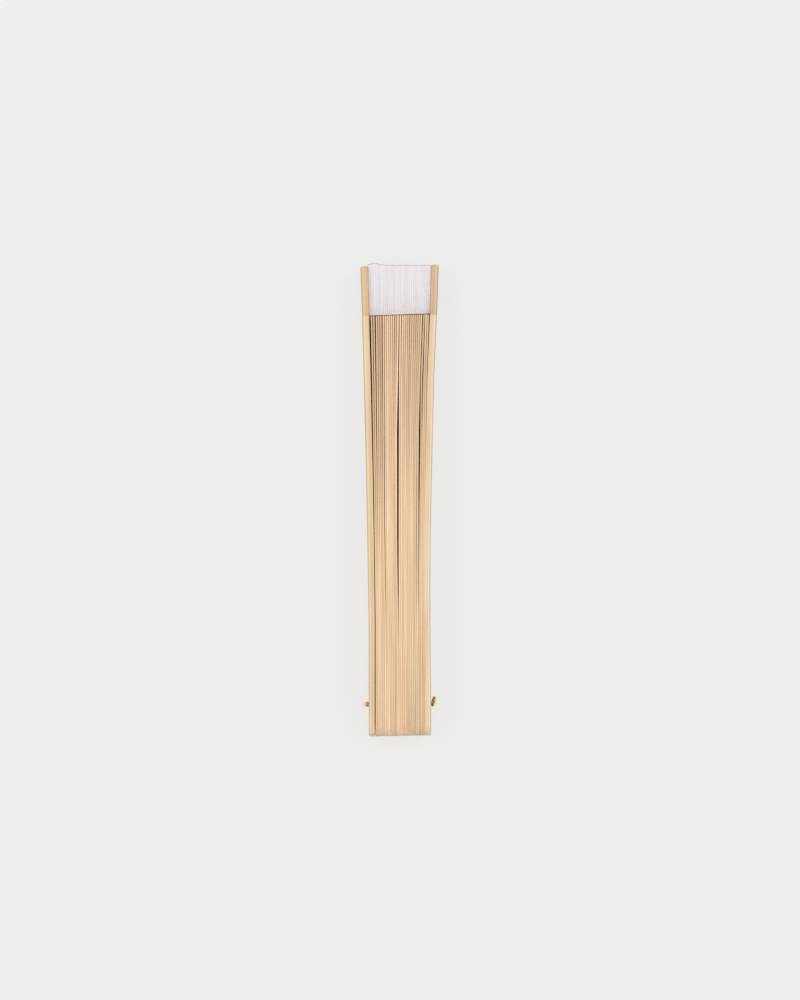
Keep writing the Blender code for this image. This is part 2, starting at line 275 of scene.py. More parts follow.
def turn(name, about, degrees):
    """An angle, given here in degrees."""
    return bpy.props.FloatProperty(
        name=name, description=about, default=math.radians(degrees), subtype="ANGLE"
    )


def tint(name, about, red, green, blue):
    """A colour, given here as it looks on a screen, from 0 to 255."""
    screen = np.array((red, green, blue)) / 255
    light = np.where(screen <= 0.04045, screen / 12.92, ((screen + 0.055) / 1.055) ** 2.4)
    return bpy.props.FloatVectorProperty(
        name=name,
        description=about,
        default=(*light.tolist(), 1.0),
        size=4,
        min=0.0,
        max=1.0,
        subtype="COLOR",
    )


class FanStickSizes(bpy.types.PropertyGroup):
    """How the ribs and guards are finished."""

    tail_round: size("Tail corner", "Radius of a stick's round tail", 6.0)
    shoulder_round: size("Shoulder corner", "Radius of the corner at the shoulder", 1.0)
    shoulder_slope: size("Shoulder slope", "How far the shoulder falls to its corner", 0.12)
    fillet: size("Inner corner", "Radius where the shoulder meets the slip", 0.35)
    rib_easing: size("Rib edge", "Radius of a rib's long edges", 0.09)
    edge_line: size("Edge line", "Width of the lighter lines along a guard's edges", 0.5)
    slip_round: size("Slip corner", "Radius of the corners at a slip's end", 0.6)
    guard_easing: size("Guard outer edge", "Radius of a guard's outer edges", 0.9)
    guard_inner_easing: size("Guard inner edge", "Radius of a guard's inner edges", 0.12)
    guard_tip_round: size("Guard tip corner", "Radius of the corners at a guard's tip", 1.2)
    slip_ramp: size("Slip ramp", "Length over which a rib thins into its slip", 0.4)
    rib_fullness: size("Rib fullness", "How much thicker ribs are where they press together", 0.028)
    rib_taper: size("Rib taper", "How much thinner a rib is at its shoulder", 0.02)
    rib_uneven: size("Uneven ribs", "How much the ribs' thinning differs", 0.05)
    rib_tight: size("Tight ribs", "How much thicker the tight ribs are towards the leaf", 0.055)
    rib_loose: size("Loose ribs", "How much thinner the loose ribs at the left are", 0.14)
    # Painted shade on the right guard's neck past its shoulder
    end_shade: share("Right end shade", "How much darker the right guard's end is", 0.11)
    hole_radius: size("Hole", "Radius of the holes that the pin runs through", 1.05)
    tail_slant: size("Tail slant", "How much shorter the right guard's tail is cut", 0.5)
    shoulder_drop: size("Shoulder drop", "How much lower the first rib's shoulder is", 0.38)
    shoulder_slant: size("Shoulder slant", "How much further out the right shoulders are", 1.0)
    left_tip_cut: size("Left tip", "How much shorter the left guard's tip is cut", 0.9)
    right_tip_cut: size("Right tip", "How much shorter the right guard's tip is cut", 0.2)


class FanLeafSizes(bpy.types.PropertyGroup):
    """The pleated leaf."""

    thickness: size("Cloth", "Thickness of the cloth", 0.12)
    glue: size("Glue line", "Room between the cloth and the stick it is glued to", 0.04)
    above_shoulder: size("Lower edge", "Room between the leaf and the ribs' shoulders", 0.65)
    below_tip: size("Upper edge", "How far the leaf's upper edge stays below the tip", 0.2)
    proud: size("Proud pleats", "How far the first pleats stand out past the others", 0.9)
    fold_height: size("Fold", "Height of the rounded part of a fold", 0.14)
    fold_room: size("Between folds", "Room left between two folds", 0.02)
    fold_squareness: share("Squareness", "2 makes a fold round and more makes it flat", 7.0, 9.0)
    edge_wander: size("Uneven edge", "How much the leaf's upper edge wanders", 0.12)
    edge_drop: size("Edge drop", "How much lower the leaf's lower edge starts", 0.38)
    edge_slant: size("Edge slant", "How much the leaf's lower edge rises to the right", 1.0)


class FanPinSizes(bpy.types.PropertyGroup):
    """The brass pin, with its head and its eye."""

    radius: size("Shank", "Radius of the shank", 0.9)
    head_radius: size("Head", "Radius of the round head", 1.22)
    head_height: size("Head height", "How far the head stands out", 1.68)
    head_drop: size("Head drop", "How much nearer the tail than the holes the head sits", 0.5)
    clearance: size("Clearance", "Room between the pin and the guards' outer faces", 0.15)
    rivet_radius: size("Riveted end", "Radius of the domed end inside the eye", 1.25)
    eye_radius: size("Eye", "Radius of the eye, to the middle of its wire", 2.1)
    wire_radius: size("Wire", "Radius of the eye's wire", 0.5)
    eye_lift: size("Eye lift", "How far the eye stands towards the leaf", 0.9)
    eye_lean: turn("Eye lean", "How far the eye leans away from the guard", 15.0)
    eye_turn: turn("Eye turn", "How far the eye is turned about its length", 10.0)


class FanFinishes(bpy.types.PropertyGroup):
    """The colours of the wood, the cloth and the brass."""

    wood_light: tint("Light wood", "The ribs' wood between its grain lines", 236, 208, 174)
    wood_mid: tint("Wood", "The ribs' main colour", 225, 193, 155)
    wood_dark: tint("Grain", "The wood's grain lines", 192, 151, 105)
    guard_light: tint("Light guard wood", "The guards between their grain lines", 233, 206, 176)
    guard_mid: tint("Guard wood", "The guards' main colour", 225, 195, 163)
    # Painted shade, tinted on the guards' necks past the shoulder, which lie lower than the blades'
    # edges
    guard_neck_shade: tint("Guard tips", "What the guards' ends are tinted with", 247, 239, 234)
    # A painted highlight, paling the guards' rounded outer edges where light catches them
    guard_highlight: tint("Rubbed edge", "The guards' outer edges, rubbed pale", 240, 224, 202)
    rib_face: tint("Rib faces", "What the ribs' broad faces are tinted with", 243, 228, 205)
    guard_face: tint("Guard faces", "What the guards' broad faces are tinted with", 238, 229, 216)
    cloth: tint("Cloth", "The leaf", 228, 224, 228)
    cloth_shade: tint("Cloth shade", "The leaf where it is a little darker", 222, 217, 222)
    brass: tint("Brass", "Bright brass", 216, 182, 98)
    brass_dull: tint("Tarnish", "Brass where it has dulled", 122, 88, 38)
    table: tint("Table", "The pale table", 239, 239, 239)


class FanStage(bpy.types.PropertyGroup):
    """The camera and the lights."""

    lens: size("Lens", "Focal length of the camera", 85.0, 20, 200)
    frame_height: size("Frame height", "What the picture shows from top to bottom", 487.3, 0, 2000)
    frame_level: size("Frame level", "How far above the table the frame height holds", 15.5)
    sky: share("Sky", "Strength of the even light from all round", 1.0, 5.0)
    side_power: share("Side lights", "Power of the two large side lights, in watts", 3.5, 200.0)
    table_glow: share("Table glow", "How much of the table's light is its own", 0.80)
    table_shade: share("Table shade", "How much of the other light the table gives back", 0.91)
    glow_stop: size("Glow stop", "How near to an object the table's glow stops", 14.0)


def fan_of(context):
    """The fan's settings in the scene."""
    return context.scene.folding_fan


class FanSettings(bpy.types.PropertyGroup):
    """Every setting of the fan."""

    sticks: bpy.props.PointerProperty(type=FanStickSizes, name="Sticks", description="The sticks")
    leaf: bpy.props.PointerProperty(type=FanLeafSizes, name="Leaf", description="The leaf")
    pin: bpy.props.PointerProperty(type=FanPinSizes, name="Pin", description="The pin")
    finishes: bpy.props.PointerProperty(type=FanFinishes, name="Finishes", description="Colours")
    stage: bpy.props.PointerProperty(type=FanStage, name="Stage", description="Camera and lights")


class Value:
    """A number that a material works out, which can be added, multiplied and so on."""

    def __init__(self, graph, socket):
        self.graph, self.socket = graph, socket

    def work(self, operation, *values):
        sockets = dict(enumerate(values))
        return self.graph.value("ShaderNodeMath", {"operation": operation}, sockets)

    def __add__(self, other):
        return self.work("ADD", self, other)

    __radd__ = __add__

    def __mul__(self, other):
        return self.work("MULTIPLY", self, other)

    __rmul__ = __mul__

    def __sub__(self, other):
        return self.work("SUBTRACT", self, other)

    def __rsub__(self, other):
        return self.work("SUBTRACT", other, self)

    def __pow__(self, other):
        return self.work("POWER", self, other)

    def sine(self):
        return self.work("SINE", self)

    def between(self, low, high):
        """0 below low and 1 above high, with a smooth step between them."""
        sockets = {"Value": self, "From Min": low, "From Max": high}
        settings = {"interpolation_type": "SMOOTHSTEP"}
        return self.graph.value("ShaderNodeMapRange", settings, sockets)


class Graph:
    """The nodes of one material."""

    def __init__(self, name):
        self.material = bpy.data.materials.new(name)
        self.material.use_nodes = True
        self.tree = self.material.node_tree
        self.shader = self.tree.nodes["Principled BSDF"]

    def node(self, kind, settings, sockets):
        """One node: its settings first, then the values or links of its sockets."""
        made = self.tree.nodes.new(kind)
        for name, value in settings.items():
            setattr(made, name, value)
        for name, value in sockets.items():
            self.feed(made.inputs[name], value)
        return made

    def feed(self, socket, value):
        """Links a worked-out value to a socket, or sets the socket to a plain one."""
        if isinstance(value, Value):
            self.tree.links.new(value.socket, socket)
        else:
            socket.default_value = value

    def value(self, kind, settings, sockets, output=0):
        """What one output of a new node gives."""
        return Value(self, self.node(kind, settings, sockets).outputs[output])

    def attribute(self, name):
        """A vector that the mesh carries at its vertices."""
        return self.value("ShaderNodeAttribute", {"attribute_name": name}, {}, "Vector")

    def number(self, name):
        """A number that the mesh carries at its vertices."""
        return self.value("ShaderNodeAttribute", {"attribute_name": name}, {}, "Fac")

    def place(self):
        """The point's place on its object."""
        return self.value("ShaderNodeTexCoord", {}, {}, "Object")

    def part(self, vector, axis):
        """One coordinate of a vector."""
        return self.value("ShaderNodeSeparateXYZ", {}, {"Vector": vector}, axis)

    def noise(self, vector, spots, detail=2.0, roughness=0.5):
        """Soft random spots, from 0 to 1, with so many of them to a metre along X, Y and Z."""
        settings = {"operation": "MULTIPLY"}
        scaled = self.value("ShaderNodeVectorMath", settings, {0: vector, 1: spots})
        sockets = {"Vector": scaled, "Scale": 1.0, "Detail": detail, "Roughness": roughness}
        return self.value("ShaderNodeTexNoise", {}, sockets, "Fac")

    def mix(self, first, second, factor, blend="MIX"):
        """A colour between two colours, or one multiplied by the other."""
        settings = {"data_type": "RGBA", "blend_type": blend, "clamp_factor": True}
        return self.value("ShaderNodeMix", settings, {0: factor, 6: first, 7: second}, 2)

    def times(self, colour, other, factor=1.0):
        """A colour multiplied by another one, as far as the factor says."""
        return self.mix(colour, other, factor, "MULTIPLY")

    def shaded(self, colour, bright):
        """A colour multiplied by a worked-out brightness."""
        sockets = {"Red": bright, "Green": bright, "Blue": bright}
        return self.times(colour, self.value("ShaderNodeCombineColor", {}, sockets))

    def bump(self, height, strength, distance):
        """Feeds the shader's normal with small relief, distance metres high."""
        sockets = {"Height": height, "Strength": strength, "Distance": distance}
        self.finish({"Normal": self.value("ShaderNodeBump", {}, sockets, "Normal")})

    def finish(self, sockets):
        """Sets or links the shader's own sockets."""
        for name, value in sockets.items():
            self.feed(self.shader.inputs[name], value)
        return self.material


WHITE = (1.0, 1.0, 1.0, 1.0)

# How many spots a metre of wood has in each pattern: through the stick, along it and across it
FIBRE, STREAK, CLOUD, WANDER = (5200, 70, 5200), (1500, 11, 1500), (160, 24, 160), (90, 9, 90)
PORE, SPECK, WORN = (9000, 420, 9000), (2600, 900, 2600), (190, 16, 60)

# How closely the grain's dark lines follow each other across a stick, how far they wander, and how
# narrow they are
LINES, LINES_WANDER, LINES_NARROW = 2600, 30, 2.5

# How far above the tail the wood is darker, and how far to each side of the shoulder
# the guards' necks take on their painted shade
TAIL_CHANGE, SHOULDER_CHANGE = (0.2 * MILLIMETRE, 2.4 * MILLIMETRE), 0.4 * MILLIMETRE

# How strongly the relief of the wood, the cloth and the brass shows, and how high it is
WOOD_RELIEF, CLOTH_RELIEF, BRASS_RELIEF = (0.22, 0.00006), (0.3, 0.00003), (0.15, 0.00002)


def wood(name, finishes, light, mid, face, tip, warm):
    """Pale bare wood: long fibres, wandering grain bands, faint clouds and fine pores.

    The grain follows the stick, because the pattern is laid on the attribute "grain": the depth
    through the stick, the place along it and the place across it, moved on for each stick. The
    broad faces are a little browner than the sanded edges, by the attribute "face". The attributes
    "tone" and "warmth" say how light and how yellow the wood is, and the tone also carries painted
    shade and painted highlights. The attribute "highlit" says where a painted highlight pales the
    guards' rounded edges, and the guards' necks past the shoulder are tinted with painted shade.
    """
    graph = Graph(name)
    grain, place = graph.attribute("grain"), graph.place()
    fibre = graph.noise(grain, FIBRE, detail=3, roughness=0.6)
    streak = graph.noise(grain, STREAK, detail=3, roughness=0.55).between(0.35, 0.68)
    cloud = graph.noise(grain, CLOUD)
    bands = graph.part(grain, "Z") * LINES + graph.noise(grain, WANDER) * LINES_WANDER
    rings = (bands.sine() * 0.5 + 0.5) ** LINES_NARROW
    pores = graph.noise(grain, PORE, detail=1).between(0.66, 0.74)
    speck = graph.noise(grain, SPECK).between(0.62, 0.72)
    worn = graph.noise(place, WORN).between(0.3, 0.7)
    y = graph.part(place, "Y")
    tail = 1 - y.between(TAIL_Y + TAIL_CHANGE[0], TAIL_Y + TAIL_CHANGE[1])
    end = y.between(SHOULDER_Y - SHOULDER_CHANGE, SHOULDER_Y + SHOULDER_CHANGE)

    colour = graph.mix(light, mid, streak)
    colour = graph.mix(colour, finishes.wood_dark, rings * 0.16 + pores * 0.35)
    colour = graph.mix(colour, light, speck * 0.15)
    # A painted highlight pales the guards' rounded outer edges, where light catches them
    colour = graph.mix(colour, finishes.guard_highlight, graph.number("rubbed"))
    bright = graph.number("tone") + (fibre - 0.5) * 0.10 + (cloud - 0.5) * 0.10 + worn * 0.10
    colour = graph.shaded(colour, bright + 0.95 - tail * 0.13)
    colour = graph.times(colour, graph.mix(WHITE, warm, graph.number("warmth")))
    colour = graph.times(colour, face, graph.number("face"))
    # Painted shade: the guards' necks past the shoulder, lower than the blades' edges, are tinted
    # darker
    colour = graph.times(colour, tip, end)
    graph.bump(fibre * 0.6 + pores * -0.5, *WOOD_RELIEF)
    roughness = 0.56 + (fibre - 0.5) * 0.25 + cloud * 0.1
    return graph.finish({"Base Color": colour, "Roughness": roughness, "Specular IOR Level": 0.2})


# The pitch of the cloth's weave, and how many spots a metre of cloth has in each pattern
THREAD = 0.42 * MILLIMETRE
SLUB, PLEAT_SHADE, BLUSH = (2400, 60, 1), (420, 22, 1), (60, 45, 1)
BLUSH_COLOUR = (0.84, 0.78, 0.80, 1.0)

# How far up the leaf's painted light reaches along its lower edge, which the shoulders shade, and
# over the lower part where the ends take more of it; how far the painted light at the ends reaches
# from the left and from the right guard, which shade the leaf; and where the darker line along the
# upper edge ends
LOWER_EDGE_LIGHT, LOWER_PART = 2.8 * MILLIMETRE, 9 * MILLIMETRE
LEFT_END, RIGHT_END = (0.0, 3.0 * MILLIMETRE), (-2.6 * MILLIMETRE, 0.2 * MILLIMETRE)
CUT_LINE = (0.30 * MILLIMETRE, 0.60 * MILLIMETRE)


def cloth(name, finishes):
    """White cloth of a fine plain weave, with faint shades from pleat to pleat.

    The weave is laid on the attribute "cloth": the place across the unfolded leaf, along it, and
    the distance from its upper edge, along which a thin line is darker. Painted light makes the
    leaf lighter near its lower edge and next to the guards, where the shoulders and the guards
    shade it.
    """
    graph = Graph(name)
    flat, place = graph.attribute("cloth"), graph.place()
    warp, weft = [(graph.part(flat, axis) * (math.tau / THREAD)).sine() for axis in "XY"]
    slub = graph.noise(flat, SLUB)
    shade = graph.noise(place, PLEAT_SHADE).between(0.35, 0.68)
    blush = graph.noise(flat, BLUSH, detail=1).between(0.45, 0.7)
    x, y = graph.part(place, "X"), graph.part(place, "Y")
    lower_edge_light = 1 - y.between(SHOULDER_Y, SHOULDER_Y + LOWER_EDGE_LIGHT)
    low = 1 - y.between(SHOULDER_Y, SHOULDER_Y + LOWER_PART)
    start = 1 - x.between(START_X + LEFT_END[0], START_X + LEFT_END[1])
    end = x.between(END_X + RIGHT_END[0], END_X + RIGHT_END[1])
    cut = 1 - graph.part(flat, "Z").between(*CUT_LINE)

    colour = graph.mix(finishes.cloth, finishes.cloth_shade, shade)
    colour = graph.mix(colour, BLUSH_COLOUR, blush * 0.2)
    # Painted light: lighter near the lower edge and at the ends by the guards, which shade the
    # leaf; darker along a thin line at the upper edge
    bright = 1.0 + (slub - 0.5) * 0.03 + warp * weft * 0.012 + lower_edge_light * 0.05
    bright = bright + end * (0.17 + low * 0.05) + start * low * 0.14 - cut * 0.30
    colour = graph.shaded(colour, bright)
    graph.bump(warp * weft * 0.5 + slub * 0.6, *CLOTH_RELIEF)
    return graph.finish(
        {
            "Base Color": colour,
            "Roughness": 0.84 + (slub - 0.5) * 0.1,
            "Specular IOR Level": 0.25,
            "Sheen Weight": 0.15,
            "Sheen Roughness": 0.5,
        }
    )


# How many spots a metre of brass has in each pattern
TARNISH, SCRATCH = (700, 700, 700), (9000, 1200, 9000)


def brass(name, finishes):
    """Yellow brass wire: polished where it is handled, duller in patches, with fine scratches."""
    graph = Graph(name)
    place = graph.place()
    patch = graph.noise(place, TARNISH, detail=3).between(0.42, 0.66)
    scratch = graph.noise(place, SCRATCH)
    colour = graph.mix(finishes.brass, finishes.brass_dull, patch * 0.7)
    graph.bump(scratch, *BRASS_RELIEF)
    roughness = 0.24 + patch * 0.22 + (scratch - 0.5) * 0.1
    return graph.finish({"Base Color": colour, "Metallic": 1.0, "Roughness": roughness})


def new_piece(name, points, faces, material, smooth=30.0):
    """A mesh object from an array of points and a list of faces, with its normals set outwards."""
    mesh = bpy.data.meshes.new(name)
    mesh.from_pydata(points.tolist(), [], faces)
    drawn = bmesh.new()
    drawn.from_mesh(mesh)
    bmesh.ops.remove_doubles(drawn, verts=drawn.verts, dist=1e-7)
    bmesh.ops.recalc_face_normals(drawn, faces=drawn.faces)
    drawn.to_mesh(mesh)
    drawn.free()
    mesh.shade_smooth()
    mesh.set_sharp_from_angle(angle=math.radians(smooth))
    mesh.materials.append(material)
    piece = bpy.data.objects.new(name, mesh)
    bpy.context.scene.collection.objects.link(piece)
    return piece


def grid_faces(rows, columns, first=0, closed=False):
    """The quads of a grid of points that are numbered row by row, closed round if asked."""
    across = columns if closed else columns - 1
    row, column = np.meshgrid(np.arange(rows - 1), np.arange(across), indexing="ij")
    here, beside = row * columns + column, row * columns + (column + 1) % columns
    quads = np.stack([here, beside, beside + columns, here + columns], -1) + first
    return quads.reshape(-1, 4).tolist()


def points_of(piece):
    """The vertices of a piece, one row for each."""
    points = np.empty(3 * len(piece.data.vertices), np.float32)
    piece.data.vertices.foreach_get("co", points)
    return points.reshape(-1, 3).astype(float)


def carry(piece, name, values):
    """Stores a number or a vector at every vertex, for the piece's material."""
    kind = "FLOAT_VECTOR" if values.ndim == 2 else "FLOAT"
    stored = piece.data.attributes.new(name, kind, "POINT")
    key = "vector" if values.ndim == 2 else "value"
    stored.data.foreach_set(key, values.astype(np.float32).ravel())


def arc(centre_y, centre_z, radius, first, last, steps):
    """Points of an arc in the plane of a stick's face: the centre plus the radius times the cosine
    and the sine of angles from first to last, in degrees."""
    angles = np.radians(np.linspace(first, last, steps + 1))
    return np.stack([centre_y + radius * np.cos(angles), centre_z + radius * np.sin(angles)], 1)


# Where a blade's outline has points of its own: past the first place and up to the second one short
# of the shoulder. And how near each other two points of it may be
FIRST_BEND, LAST_BEND, LEAST_STEP = 10 * MILLIMETRE, 3 * MILLIMETRE, 2e-5


def stick_outline(tail, shoulder, tip, neck_half, tip_round, sizes):
    """The upper half of a stick's face, from its tip down to its tail, as rows of Y and Z.

    It is a round tip corner, the neck, a small fillet, the sloping shoulder with its round corner,
    the blade, with a point at every bend of the stack, and the round tail corner.
    """
    half, slope = STACK.blade_half, sizes.shoulder_slope
    round_, fillet, tail_round = sizes.shoulder_round, sizes.fillet, sizes.tail_round
    bends = STACK.places[(STACK.places > FIRST_BEND) & (STACK.places < shoulder - LAST_BEND)]
    blade = np.concatenate([(-2 * sizes.hole_radius, 2 * sizes.hole_radius), bends])
    neck = np.linspace(tip - tip_round, shoulder + fillet, 8)[1:-1]
    parts = [
        arc(tip - tip_round, neck_half - tip_round, tip_round, 0, 90, 6),
        np.stack([neck, np.full(len(neck), neck_half)], 1),
        arc(shoulder + fillet, neck_half + fillet, fillet, 270, 180, 4),
        arc(shoulder - slope - round_, half - round_, round_, 0, 90, 6),
        np.stack([blade[::-1], np.full(len(blade), half)], 1),
        arc(tail + tail_round, half - tail_round, tail_round, 90, 180, 14),
    ]
    line = np.concatenate(parts)
    apart = np.linalg.norm(np.diff(line, axis=0), axis=1) > LEAST_STEP
    return line[np.concatenate([[True], apart])]


def edge_steps(thickness, first_round, second_round, steps):
    """(inset, depth) round a board's edge: a quarter circle off its first face, the wall, and a
    quarter circle on to its second face."""
    angles = np.linspace(0, math.pi / 2, steps + 1)
    rise, fall = 1 - np.sin(angles), 1 - np.cos(angles)
    first = np.stack([first_round * rise, first_round * fall], 1)
    second = np.stack([second_round * rise, thickness - second_round * fall], 1)[::-1]
    return np.concatenate([first, second])


def board(line, edge, hole, sides=40):
    """A flat board with a round hole, as points (depth, Y, Z), faces, and for each point how much
    it is on a broad face, from 0 to 1.

    Its closed outline is the given upper half and its mirror. For each edge step the outline is
    moved in by the inset, along the bisector of its two sides, at the step's depth. Rungs between
    the outline's two halves fill the two faces. Where the hole is, four sectors of the face go
    round it instead of a rung, and its wall joins the two circles.
    """
    loop = np.concatenate([line, line[::-1] * (1, -1)])
    forward = np.roll(loop, -1, 0) - loop
    forward /= np.linalg.norm(forward, axis=1, keepdims=True)
    inward = np.stack([-forward[:, 1], forward[:, 0]], 1)
    before = np.roll(inward, 1, 0)
    bisector = (inward + before) / (1 + (inward * before).sum(1, keepdims=True))
    count, half = len(loop), len(line)
    flat = loop[None] + edge[:, 0, None, None] * bisector[None]
    depth = np.broadcast_to(edge[:, 1, None, None], (len(edge), count, 1))
    points = np.concatenate([depth, flat], 2).reshape(-1, 3)
    faces = grid_faces(len(edge), count, closed=True)

    angles = np.linspace(math.pi / 4, math.pi / 4 + math.tau, sides, endpoint=False)
    ring = hole * np.stack([np.cos(angles), np.sin(angles)], 1)
    circles = [np.concatenate([np.full((sides, 1), x), ring], 1) for x in edge[[0, -1], 1]]
    first = len(points)
    faces += grid_faces(2, sides, first, closed=True)
    points = np.concatenate([points, *circles])

    rung = np.arange(half - 1)
    quads = np.stack([rung, rung + 1, count - 2 - rung, count - 1 - rung], 1)
    holed = int(np.argmax(line[:, 0] < 0)) - 1
    above, below, below_, above_ = quads[holed].tolist()
    around = np.arange(sides + 1) % sides
    quarter = sides // 4
    borders = ((above, below), (below, below_), (below_, above_), (above_, above))
    for number, turned_over in ((0, 1), (1, -1)):
        base, start = number * (len(edge) - 1) * count, first + number * sides
        solid_quads = np.delete(quads, holed, 0) + base
        faces += solid_quads[:, ::turned_over].tolist()
        for part, (one, other) in enumerate(borders):
            arc_ = around[part * quarter : (part + 1) * quarter + 1] + start
            faces.append([one + base, *arc_.tolist(), other + base][::turned_over])
    broad = edge[:, 0] / np.where(edge[:, 1] < edge[:, 1].mean(), edge[0, 0], edge[-1, 0])
    return points, faces, np.concatenate([np.repeat(broad, count), np.ones(2 * sides)])


def settle(piece, other):
    """Joins another closed mesh on to a piece, and keeps the result as its mesh."""
    change = piece.modifiers.new("change", "BOOLEAN")
    change.operation, change.solver, change.object = "UNION", "EXACT", other
    bpy.context.view_layer.update()
    seen = piece.evaluated_get(bpy.context.evaluated_depsgraph_get())
    mesh = bpy.data.meshes.new_from_object(seen)
    old, piece.data = piece.data, mesh
    piece.modifiers.clear()
    bpy.data.meshes.remove(old)


# The seeds of the random draws: a stick's tone and warmth, a rib's thinning, the leaf's edge
TONE_SEED, THIN_SEED, EDGE_SEED = 100, 700, 31

# How far the wood's pattern moves on from one stick to the next
GRAIN_STEP = np.array((0.0137, 0.317, 0.0711))

# How much the sticks differ in tone, and how much more the ribs do
TONE_SPREAD, RIBS_MORE = 0.045, 1.2

# Which ribs are toned by themselves: the pair at the widest gape, those on its right, the last
# ones and the pale one. Then between which ribs the pink rises and falls, and where along the fan
MIDDLE_PAIR, RIGHT_RIBS, END_RIBS, PALE_RIB = 13.3, (12.5, 15.0), (23, 25), 14
PINK_RISES, PINK_FALLS, PINK_PART = (3, 6), (12, 15), (0.150, 0.185)

# Where along the fan the ribs' tone changes: past the tail, in the upper part with its painted
# shade, below the leaf, and at the shoulder's corner with its painted highlight, which is
# measured from the shoulder
TAIL_PART, UPPER_PART, NECK_PART = (0.0, 0.050), (0.080, 0.160), (0.170, 0.184)
CORNER_PART = (-1.6 * MILLIMETRE, -0.8 * MILLIMETRE)

# How much cooler than the left guard's wood the right guard's is
GUARD_COOLER = 0.65


def rib_tone(number, y):
    """How much lighter or darker a rib is along its length. In its upper part it is darker, a
    painted shade, most of all where the ribs are loose and on the right, and less so beside the
    widest gape. Just below the shoulder's round corner it is lighter, a painted highlight."""
    upper, loose = smooth_step(y, *UPPER_PART), loose_part(number)
    right = float(smooth_step(number, *RIGHT_RIBS))
    middle = math.exp(-((number - MIDDLE_PAIR) ** 2))
    darker = 0.065 + 0.09 * loose + 0.06 * right - 0.07 * middle
    lighter = 0.045 * right * (1 - float(smooth_step(number, *END_RIBS))) - 0.03 * loose
    tone = 0.015 + 0.09 * (number == PALE_RIB) - 0.09 * (1 - smooth_step(y, *TAIL_PART))
    tone = tone + (1 - upper) * lighter - upper * darker - 0.03 * smooth_step(y, *NECK_PART)
    # A painted highlight where light catches the round corner at the shoulder
    return tone + 0.10 * smooth_step(y - STACK.shoulder, *CORNER_PART)


def dress_stick(piece, number, centre, broad, shade, rubbed):
    """Stores what the wood's pattern needs on a stick's mesh: its own place along the grain, how
    light and how warm its wood is, with painted shade and painted highlights in the lightness,
    where its broad faces are, and where a painted highlight pales its rounded edge."""
    points = points_of(piece)
    y = points[:, 1] - PIN_PLACE[1]
    grain = np.stack([points[:, 0] - centre(y), y, points[:, 2] - PIN_PLACE[2]], 1)
    chance = np.random.default_rng(TONE_SEED + number)
    tone = chance.normal(0, TONE_SPREAD) + shade
    if number in (0, LAST):
        warmth = np.full(len(y), 1.0 - GUARD_COOLER * rank(number))
    else:
        tone = tone * RIBS_MORE + rib_tone(number, y)
        pink = float(smooth_step(number, *PINK_RISES) * (1 - smooth_step(number, *PINK_FALLS)))
        warmth = chance.uniform(0, 1) + (0.5 + 0.7 * pink) * smooth_step(y, *PINK_PART)
    carry(piece, "grain", grain + GRAIN_STEP * (number + 1))
    for name, values in (("tone", tone), ("warmth", warmth), ("face", broad), ("rubbed", rubbed)):
        carry(piece, name, values)


def rib_shoulder(number, sizes):
    """How far from the pin a rib's shoulder is."""
    return STACK.shoulder + rank(number) * sizes.shoulder_slant - sizes.shoulder_drop


# The places along a rib, in millimetres from the pin, between which its thickness changes evenly
RIB_PLACES = (-20, 30, 100, 150)


def rib_thickness(number, y, sizes):
    """How thick a rib is at distance y from the pin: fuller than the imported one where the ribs
    press together, thinner where they are loose, and thin from the shoulder on."""
    chance = np.random.default_rng(THIN_SEED + number)
    taper = sizes.rib_taper + abs(chance.normal(0, sizes.rib_uneven))
    tight = sizes.rib_tight * (1 - loose_part(number))
    press = tight - sizes.rib_loose * loose_part(number)
    full, shoulder = sizes.rib_fullness, rib_shoulder(number, sizes)
    change = np.array([full, full, press / 2, press, tight - taper])
    places = [*(MILLIMETRE * np.array(RIB_PLACES)), shoulder, shoulder + sizes.slip_ramp]
    return np.interp(y, places, [*(STACK.rib_thickness + change), STACK.slip_thickness])


def make_rib(number, sizes, material):
    """One slat, with its thin slip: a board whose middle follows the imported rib's."""
    tail, shoulder = STACK.tail + rank(number) * sizes.tail_slant, rib_shoulder(number, sizes)
    line = stick_outline(tail, shoulder, STACK.slip_end, STACK.slip_half, sizes.slip_round, sizes)
    thick = STACK.rib_thickness
    edge = edge_steps(thick, sizes.rib_easing, sizes.rib_easing, 3)
    points, faces, broad = board(line, edge, sizes.hole_radius)
    shaved = rib_thickness(number, points[:, 1], sizes) / thick
    points[:, 0] = STACK.middle(number, points[:, 1]) + (points[:, 0] - thick / 2) * shaved
    below = (1 - points[:, 2] / STACK.blade_half) / 2
    points[:, 0] -= STACK.lean_in(number, points[:, 1]) * below
    piece = new_piece(f"slat_{number:02d}", points + PIN_PLACE, faces, material)
    none = np.zeros(len(points))
    dress_stick(piece, number, lambda y: STACK.middle(number, y), broad, none, none)
    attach(piece, STICKS[number])
    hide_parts(STICKS[number])


# Where along the fan a guard's tail shade runs out, where the right guard grows darker, and where
# the pale line along the inner edge runs out
TAIL_SHADE, RIGHT_DARKER, LINE_ENDS = (-0.008, 0.014), (0.090, 0.145), (0.165, 0.180)

# How much of a guard's rounded edge takes the painted highlight, how much paler the line along
# its inner edge is, and how much darker the painted shade makes the rims of the rounded edge,
# apart from those that are broad face already
HIGHLIT, PALE_LINE, RIM_SHADE, RIM_ENDS = 0.75, 0.18, 0.18, 0.9

# How much further out the right guard's shoulder is than the left one's
GUARD_SLANT = 0.8 * MILLIMETRE


